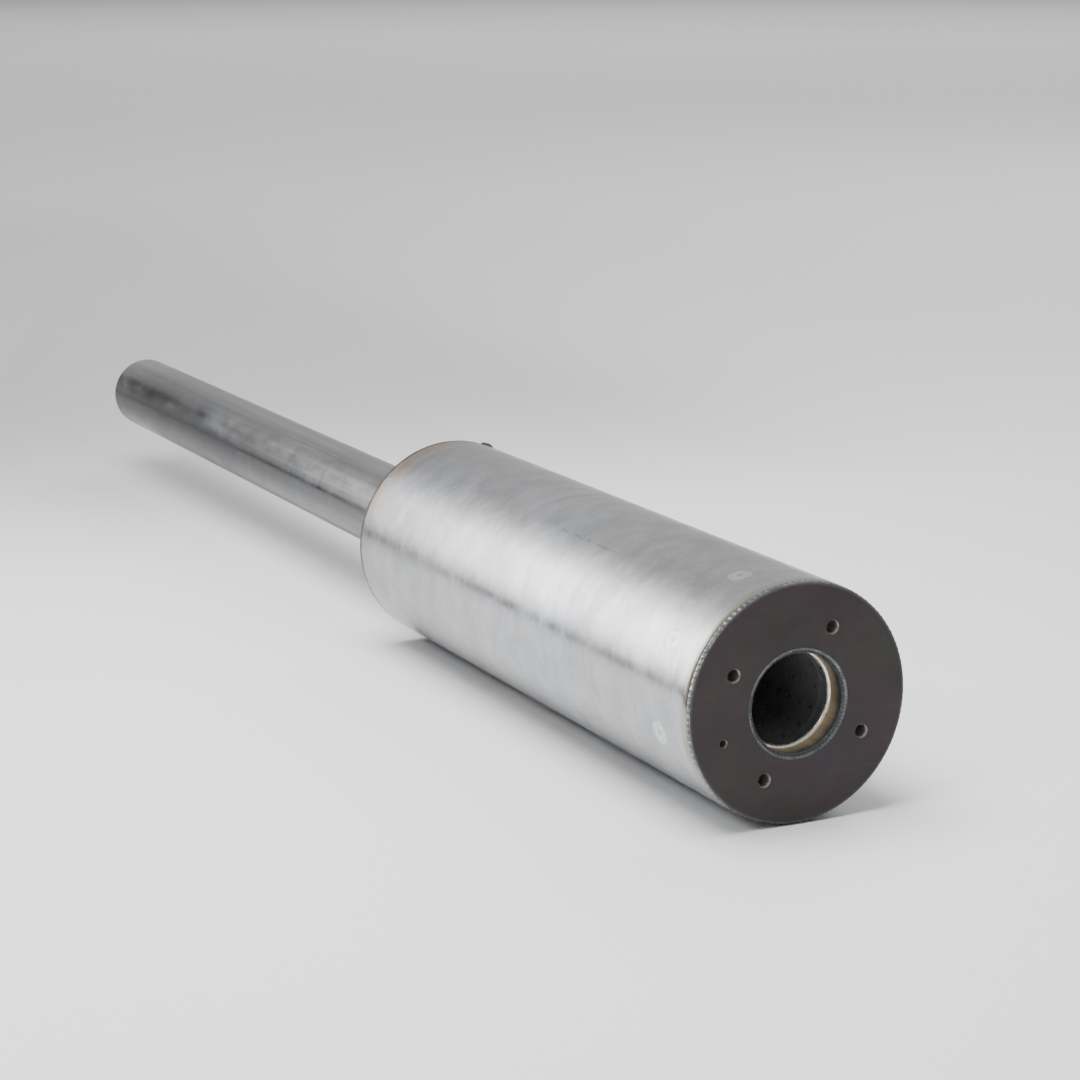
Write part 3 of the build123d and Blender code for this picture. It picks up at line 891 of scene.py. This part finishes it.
def inner_sheet():
    """The rear plate and baffle: pressed sheet with turning lines and heat rings by its welds."""
    s = Surface("inner_sheet", 1.0)
    patch = s.noise(60, detail=4, rough=0.6)
    rings = s.nodes.new("ShaderNodeTexNoise")
    rings.noise_dimensions = "1D"
    s.put(rings.inputs["W"], s.radius)
    rings.inputs["Scale"].default_value = 1500
    speck = s.noise(500, detail=3)
    color = s.mix(patch, (0.4, 0.402, 0.41), (0.35, 0.345, 0.33))
    color = s.shade(color, s.span(rings.outputs["Fac"], 0.3, 0.7, 0.92, 1.06, False))
    wander = s.math("ADD", s.radius, s.span(patch, 0.2, 0.8, -1.2 * MM, 1.2 * MM, False))
    warm = s.math("MAXIMUM", s.band(wander, 27.5 * MM, 3.5 * MM), s.band(wander, 47 * MM, 3.0 * MM))
    cool = s.math("MAXIMUM", s.band(wander, 31.5 * MM, 3.0 * MM), s.band(wander, 43.4 * MM, 2.6 * MM))
    color = s.mix(s.math("MULTIPLY", warm, 0.6), color, (0.5, 0.34, 0.17))
    color = s.mix(s.math("MULTIPLY", cool, 0.42), color, (0.3, 0.36, 0.55))
    rough = s.span(patch, 0.3, 0.7, 0.3, 0.42, False)
    height = s.math("ADD", rings.outputs["Fac"], s.math("MULTIPLY", speck, 0.5))
    return s.finish(color, rough, s.bump(height, 0.02 * MM))


def dark_plate():
    """Hot-rolled plate: brown-grey mill scale, mottled purple and green, with a fine tooth."""
    s = Surface("dark_plate", 0.0)
    s.shader.inputs["Specular IOR Level"].default_value = 0.26
    cloud = s.noise(42, detail=5, rough=0.62, warp=0.4)
    hue = s.noise(26, detail=4, shift=(2, 5, 9), warp=0.3)
    tooth = s.noise(950, detail=3, rough=0.6)
    lines = s.noise(120, stretch=(1, 0.08, 2.6), detail=3, shift=(0, 3, 1))
    color = s.ramp(hue, [
        (0.3, (0.030, 0.024, 0.029)),
        (0.42, (0.038, 0.0235, 0.026)),
        (0.52, (0.034, 0.0255, 0.026)),
        (0.66, (0.028, 0.0265, 0.024)),
    ])
    color = s.shade(color, s.span(cloud, 0.25, 0.75, 0.7, 1.25, False))
    color = s.shade(color, s.span(lines, 0.25, 0.75, 0.94, 1.06, False))
    color = s.shade(color, s.span(tooth, 0.25, 0.75, 0.9, 1.1, False))
    rim = s.span(s.radius, PLATE_RADIUS - 1.2 * MM, PLATE_RADIUS - 0.2 * MM)
    color = s.mix(s.math("MULTIPLY", rim, 0.3), color, (0.16, 0.16, 0.17))
    bare = s.span(s.depth, 0.03 * MM, 0.2 * MM)
    color = s.mix(bare, color, (0.22, 0.205, 0.18))
    s.put(s.shader.inputs["Metallic"], s.math("MULTIPLY", bare, 0.8))
    thread = s.math("SINE", s.math("MULTIPLY", s.depth, TURN / (1.0 * MM)))
    thread = s.math("MULTIPLY", thread, s.span(s.depth, 0.55 * MM, 0.8 * MM))
    # painted shade in the thread grooves and painted highlight on their crests
    color = s.shade(color, s.span(thread, -1, 1, 0.6, 1.25, False))
    rough = s.math("ADD", s.span(cloud, 0.3, 0.7, 0.42, 0.56, False), s.math("MULTIPLY", bare, -0.16))
    fine = s.bump(s.math("ADD", tooth, s.math("MULTIPLY", cloud, 0.8)), 0.035 * MM)
    return s.finish(color, rough, s.bump(thread, 0.16 * MM, fine))


def fibre(name, light, dark, scale, rough):
    """A mat of fibres, crossing at random."""
    s = Surface(name, 0.0)
    one = s.noise(scale, stretch=(0.12, 1, 1), detail=3, warp=0.6)
    two = s.noise(scale, stretch=(1, 0.15, 0.9), detail=3, shift=(4, 4, 4), warp=0.6)
    strands = s.math("MAXIMUM", one, two)
    return s.finish(s.mix(s.span(strands, 0.4, 0.65), dark, light), rough, s.bump(strands, 0.4 * MM))


def paper():
    """The pale studio floor."""
    s = Surface("studio_paper", 0.0)
    s.shader.inputs["Specular IOR Level"].default_value = 0.2
    cloud = s.noise(1.3, detail=3)
    grain = s.noise(260, detail=3)
    color = s.shade((0.79, 0.795, 0.805), s.span(cloud, 0.3, 0.7, 0.985, 1.01, False))
    color = s.shade(color, s.span(grain, 0.2, 0.8, 0.99, 1.01, False))
    return s.finish(color, 0.75, s.bump(grain, 0.05 * MM))


# ---- the studio ----
def stage_mesh(name, points, faces, materials, glossy_only=False):
    """Make a stage object. With glossy_only, nothing but reflections sees it."""
    mesh = bpy.data.meshes.new(name)
    mesh.from_pydata(points, [], faces)
    item = bpy.data.objects.new(name, mesh)
    bpy.context.scene.collection.objects.link(item)
    for material in materials:
        mesh.materials.append(material)
    if glossy_only:
        item.visible_camera = False
        item.visible_diffuse = False
        item.visible_shadow = False
        item.visible_transmission = False
    return item


def floor():
    reach = 40.0
    level = -RIM_CROWN
    corners = [
        (-reach, -reach, level),
        (reach, -reach, level),
        (reach, reach, level),
        (-reach, reach, level),
    ]
    return stage_mesh("floor", corners, [(0, 1, 2, 3)], [paper()])


BANK_X = -1.3
BANK_REACH = 1.7
# the bank's level by distance in metres from the muffler's axis
BANK_LEVELS = [
    (0.0, 0.2), (0.16, 0.2), (0.24, 0.24), (0.31, 0.55), (0.41, 0.92),
    (0.5, 2.6), (0.58, 4.6), (0.68, 7.2), (0.86, 7.8), (1.7, 6.5),
]
# and the share of it that is left, by degrees above the level of the axis
BANK_HEIGHTS = [
    (0.0, 0.3), (8.0, 0.65), (18.0, 0.95), (41.0, 1.0),
    (50.0, 0.75), (61.0, 0.35), (75.0, 0.1), (90.0, 0.0),
]
CARD_Y = -0.32
DOME_RADIUS = 9.0
# the dome's level by height, as a share of its radius
DOME_LEVELS = [(0.0, 0.66), (0.17, 0.68), (0.3, 0.74), (0.42, 0.84), (0.55, 0.92), (1.0, 1.0)]


def light_bank():
    """A soft light behind and to the left, darker towards the muffler's axis, which it faces.

    Only reflections see it. It gives the can its long bright band and the pipe its dark one.
    """
    s = Surface("bank_light", 0.0)
    glow = s.ramp(s.math("DIVIDE", s.radius, BANK_REACH), [
        (share / BANK_REACH, (level / 8, level / 8, level / 8))
        for share, level in BANK_LEVELS
    ])
    turn = s.math("ARCTAN2", s.z, s.math("MULTIPLY", s.y, -1.0))
    height = s.ramp(s.math("DIVIDE", turn, math.pi / 2), [
        (degrees / 90, (share, share, share)) for degrees, share in BANK_HEIGHTS
    ])
    level = s.math("MULTIPLY", s.mix(height, (0.1, 0.1, 0.1), glow), 8.0)
    corners = [
        (BANK_X, -BANK_REACH, -RIM_CROWN),
        (BANK_X, 0, -RIM_CROWN),
        (BANK_X, 0, 1.4),
        (BANK_X, -BANK_REACH, 1.4),
    ]
    return stage_mesh("light_bank", corners, [(0, 1, 2, 3)], [s.glow(level)], True)


def card_gap():
    """The dark gap under a card that stands to the left, as reflections see it."""
    uneven = swell(141, 10, 0, (0.02, 0.3))
    points, faces = [], []
    for k in range(241):
        x = -2.6 + 2.9 * k / 240
        top = -RIM_CROWN + 36 * MM + 4 * MM * float(uneven(x, 0))
        points += [(x, CARD_Y, -RIM_CROWN), (x, CARD_Y, top)]
        if k:
            faces.append((2 * k - 2, 2 * k, 2 * k + 1, 2 * k - 1))
    s = Surface("card_shade", 0.0)
    return stage_mesh("card_gap", points, faces, [s.glow(0.12)], True)


def dome():
    """The studio round about, as reflections see it: pale by the horizon, greyer above."""
    s = Surface("dome_light", 0.0)
    level = s.ramp(s.math("DIVIDE", s.z, DOME_RADIUS), [
        (height, (level / 2, level / 2, level / 2)) for height, level in DOME_LEVELS
    ])
    points, faces = [], []
    rows, columns = 24, 48
    for k in range(rows + 1):
        rise = math.pi / 2 * k / rows
        for c in range(columns):
            turn = TURN * c / columns
            points.append((
                DOME_RADIUS * math.cos(rise) * math.cos(turn),
                DOME_RADIUS * math.cos(rise) * math.sin(turn),
                DOME_RADIUS * math.sin(rise),
            ))
    for k in range(rows):
        for c in range(columns):
            d = (c + 1) % columns
            a, b = k * columns, (k + 1) * columns
            faces.append((a + c, a + d, b + d, b + c))
    return stage_mesh("dome", points, faces, [s.glow(s.math("MULTIPLY", level, 2.0))], True)


def flag():
    """A black flag over the tail pipe's end, which keeps the overhead light off the floor there."""
    corners = [(-1.9, -0.8, 0.3), (-0.6, -0.8, 0.3), (-0.6, 0.3, 0.3), (-1.9, 0.3, 0.3)]
    s = Surface("flag_cloth", 0.0)
    s.shader.inputs["Alpha"].default_value = 0.75
    item = stage_mesh("flag", corners, [(0, 1, 2, 3)], [s.finish((0.02, 0.02, 0.02), 0.9)])
    item.visible_camera = False
    item.visible_glossy = False
    item.visible_diffuse = False
    return item


def area_light(name, place, aim, size, power, glossy=True):
    data = bpy.data.lights.new(name, "AREA")
    data.shape = "RECTANGLE"
    data.size, data.size_y = size
    data.energy = power
    light = bpy.data.objects.new(name, data)
    bpy.context.scene.collection.objects.link(light)
    light.location = place
    light.rotation_euler = (Vector(aim) - Vector(place)).to_track_quat("-Z", "Y").to_euler()
    light.visible_camera = False
    light.visible_glossy = glossy
    return light


def sky():
    """Even studio light, dim by the horizon and brighter overhead."""
    world = bpy.data.worlds.new("studio")
    bpy.context.scene.world = world
    world.use_nodes = True
    nodes, links = world.node_tree.nodes, world.node_tree.links
    place = nodes.new("ShaderNodeTexCoord")
    split = nodes.new("ShaderNodeSeparateXYZ")
    links.new(place.outputs["Generated"], split.inputs[0])
    ramp = nodes.new("ShaderNodeValToRGB")
    links.new(split.outputs["Z"], ramp.inputs["Fac"])
    elements = ramp.color_ramp.elements
    while len(elements) < 5:
        elements.new(1.0)
    levels = [(0.0, 0.30), (0.06, 0.30), (0.16, 0.30), (0.5, 0.34), (1.0, 0.45)]
    for element, (position, level) in zip(elements, levels):
        element.position = position
        element.color = (level, level, level * 1.01, 1)
    background = nodes["Background"]
    links.new(ramp.outputs["Color"], background.inputs["Color"])
    background.inputs["Strength"].default_value = 0.9


# ---- camera ----
def camera():
    """A long lens from the front left, a little above, at the photograph's viewing angle."""
    data = bpy.data.cameras.new("camera")
    data.lens = 90.86
    data.sensor_width = 36.0
    item = bpy.data.objects.new("camera", data)
    bpy.context.scene.collection.objects.link(item)
    azimuth, elevation = math.radians(64.008), math.radians(12.646)
    back = Vector((
        math.sin(azimuth) * math.cos(elevation),
        -math.cos(azimuth) * math.cos(elevation),
        math.sin(elevation),
    ))
    item.location = (0.90419, -0.55672, 0.30479)
    item.rotation_euler = (-back).to_track_quat("-Z", "Y").to_euler()
    bpy.context.scene.camera = item


# ---- putting it together ----
camera()
floor()
light_bank()
card_gap()
dome()
sky()
area_light("key", (0.35, -1.5, 1.25), (-0.15, 0, 0), (0.55, 0.4), 12)
area_light("overhead", (-0.2, -0.32, 1.15), (-0.28, -0.1, 0), (1.0, 0.9), 34, glossy=False)
area_light("fill", (-1.6, 2.2, 2.0), (-1.3, 1.2, 0), (2.0, 1.6), 40, glossy=False)
area_light("backdrop", (-7, 4.5, 4), (-7, 4.5, 0), (8, 8), 262, glossy=False)
flag()

shell_look = brushed_shell()
pipe_look = pipe_steel()
# the third colour is a painted highlight on the bead's ripple tops
bead_look = weld_metal("rim_bead", (0.2, 0.21, 0.21), (0.09, 0.095, 0.1), (0.6, 0.6, 0.59),
                       roughness=(0.22, 0.4))
rear_bead_look = weld_metal("rear_bead", (0.075, 0.05, 0.034), (0.04, 0.03, 0.024),
                            roughness=(0.4, 0.55), metallic=0.3)
root_look = weld_metal("root_metal", (0.78, 0.77, 0.73), (0.62, 0.58, 0.5),
                       roughness=(0.24, 0.32), metallic=0.9, tooth=0.003)
lump_look = weld_metal("lump_metal", (0.2, 0.17, 0.15), (0.08, 0.07, 0.065), roughness=(0.4, 0.6))
plug_look = weld_metal("plug_metal", (0.58, 0.585, 0.595), (0.46, 0.465, 0.475), roughness=(0.2, 0.3))
mouth_look = mouth_metal()
collar_look = collar_steel()
core_look = core_steel()
sheet_look = inner_sheet()
plate_look = dark_plate()
# steel wool is dark grey; this near black also paints the shade seen through the core's holes
wool_look = fibre("steel_wool", (0.06, 0.06, 0.06), (0.02, 0.02, 0.02), 900, 0.6)
glass_look = fibre("glass_fibre", (0.82, 0.78, 0.68), (0.5, 0.46, 0.38), 700, 0.8)
seam_look = weld_metal("seam_metal", (0.15, 0.15, 0.155), (0.08, 0.08, 0.08), roughness=(0.25, 0.4))

PIECES = [
    (shell, "outer_shell", "brushed_shell", shell_look),
    (shell_seam, "shell_seam_weld", "bright_weld", bead_look),
    (front_weld, "front_rim_weld", "bright_weld", bead_look),
    (plug_welds, "baffle_plug_welds", "bright_weld", plug_look),
    (collar, "inlet_collar", "collar_steel", collar_look),
    (mouth_weld, "inlet_collar_weld", "collar_weld", mouth_look),
    (root_weld, "collar_root_weld", "bright_weld", root_look),
    (stub, "core_stub", "collar_steel", collar_look),
    (rear_disc, "rear_plate", "inner_sheet", sheet_look),
    (rear_weld, "rear_rim_weld", "bright_weld", rear_bead_look),
    (rear_lump, "rear_rim_tack", "dark_weld", lump_look),
    (tail, "tail_pipe", "pipe_steel", pipe_look),
    (tail_weld, "tail_pipe_weld", "bright_weld", rear_bead_look),
    (tail_seam, "tail_seam_weld", "bright_weld", seam_look),
]
for build, node, slot, look in PIECES:
    piece = build()
    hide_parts(node)
    piece.data.materials.append(look)

KEPT = {
    "front_plate": plate_look,
    "perforated_core": core_look,
    "core_seam_weld": core_look,
    "core_tack_welds": bead_look,
    "front_baffle": sheet_look,
    "steel_wool_wrap": wool_look,
    "fibre_packing": glass_look,
}
for node, look in KEPT.items():
    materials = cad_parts[node].data.materials
    materials.clear()
    materials.append(look)
